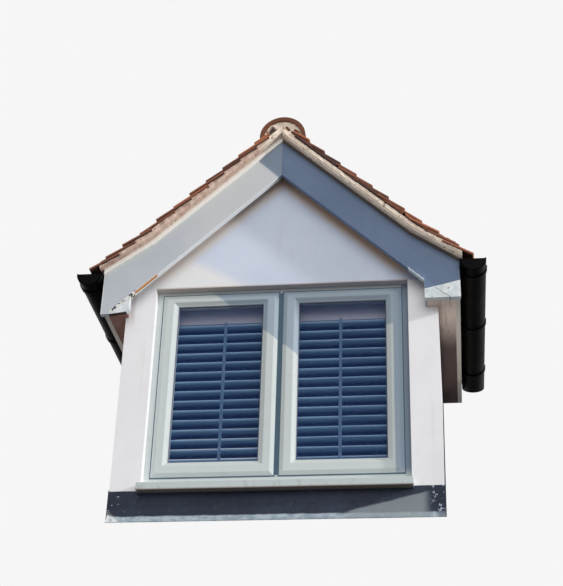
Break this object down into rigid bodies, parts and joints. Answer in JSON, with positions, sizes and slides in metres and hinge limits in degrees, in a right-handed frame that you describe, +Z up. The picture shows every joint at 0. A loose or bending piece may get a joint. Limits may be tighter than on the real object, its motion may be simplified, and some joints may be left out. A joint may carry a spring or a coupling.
{
  "type": "gabled dormer window",
  "caption": "Gabled roof dormer with a two-light casement window, shutters behind the glass, bargeboards, tiled roof, gutters and leadwork, seated on a roof slope.",
  "frame": {"origin": "middle of the underside of the front rail, on the plane in which the dormer is seated on the roof slope", "axes": "+Z up, +Y level and into the roof, +X to the viewer's right; the window faces -Y"},
  "size_m": [1.814, 2.1759, 1.9603],
  "materials": {
    "front_rail": "sawn softwood",
    "side_rails": "sawn softwood",
    "valley_boards": "sawn softwood",
    "left_post": "painted white",
    "right_post": "painted white",
    "sill_wall": "painted boarding on studs",
    "gable_wall": "smooth boarding painted white",
    "left_cheek": "smooth boarding painted white",
    "right_cheek": "smooth boarding painted white",
    "window_frame": "painted pale grey green",
    "left_sash": "painted pale grey green",
    "right_sash": "painted pale grey green",
    "left_glass": "clear double glazing",
    "right_glass": "clear double glazing",
    "window_sill": "painted, weathered",
    "window_board": "painted white",
    "left_shutter": "painted pale blue grey",
    "right_shutter": "painted pale blue grey",
    "left_louvres": "painted pale blue grey",
    "right_louvres": "painted pale blue grey",
    "left_bargeboard": "weathered pale paint",
    "right_bargeboard": "weathered pale paint",
    "left_box_end": "flaking white paint",
    "right_box_end": "flaking white paint",
    "left_undercloak": "fibre cement board",
    "right_undercloak": "fibre cement board",
    "ridge_board": "sawn softwood",
    "rafters": "sawn softwood",
    "left_roof_deck": "sawn boarding",
    "right_roof_deck": "sawn boarding",
    "left_verge_mortar": "cream mortar",
    "right_verge_mortar": "cream mortar",
    "left_tiles": "plain clay tiles",
    "right_tiles": "plain clay tiles",
    "ridge_tiles": "half round clay ridge tiles",
    "ridge_mortar": "cream mortar",
    "left_fascia": "painted",
    "right_fascia": "painted",
    "soffits": "painted boards, stained",
    "left_gutter": "black",
    "right_gutter": "black",
    "gutter_brackets": "black",
    "lead_apron": "weathered lead sheet",
    "cheek_flashings": "weathered lead sheet",
    "valley_leads": "weathered lead sheet"
  },
  "bodies": {
    "root": {"front_rail": "front_rail", "side_rails": "side_rails", "valley_boards": "valley_boards", "left_post": "left_post", "right_post": "right_post", "sill_wall": "sill_wall", "gable_wall": "gable_wall", "left_cheek": "left_cheek", "right_cheek": "right_cheek", "window_frame": "window_frame", "left_sash": "left_sash", "right_sash": "right_sash", "left_glass": "left_glass", "right_glass": "right_glass", "window_sill": "window_sill", "window_board": "window_board", "left_shutter": "left_shutter", "right_shutter": "right_shutter", "left_louvres": "left_louvres", "right_louvres": "right_louvres", "left_bargeboard": "left_bargeboard", "right_bargeboard": "right_bargeboard", "left_box_end": "left_box_end", "right_box_end": "right_box_end", "left_undercloak": "left_undercloak", "right_undercloak": "right_undercloak", "ridge_board": "ridge_board", "rafters": "rafters", "left_roof_deck": "left_roof_deck", "right_roof_deck": "right_roof_deck", "left_verge_mortar": "left_verge_mortar", "right_verge_mortar": "right_verge_mortar", "left_tiles": "left_tiles", "right_tiles": "right_tiles", "ridge_tiles": "ridge_tiles", "ridge_mortar": "ridge_mortar", "left_fascia": "left_fascia", "right_fascia": "right_fascia", "soffits": "soffits", "left_gutter": "left_gutter", "right_gutter": "right_gutter", "gutter_brackets": "gutter_brackets", "lead_apron": "lead_apron", "cheek_flashings": "cheek_flashings", "valley_leads": "valley_leads"}
  },
  "joints": []
}
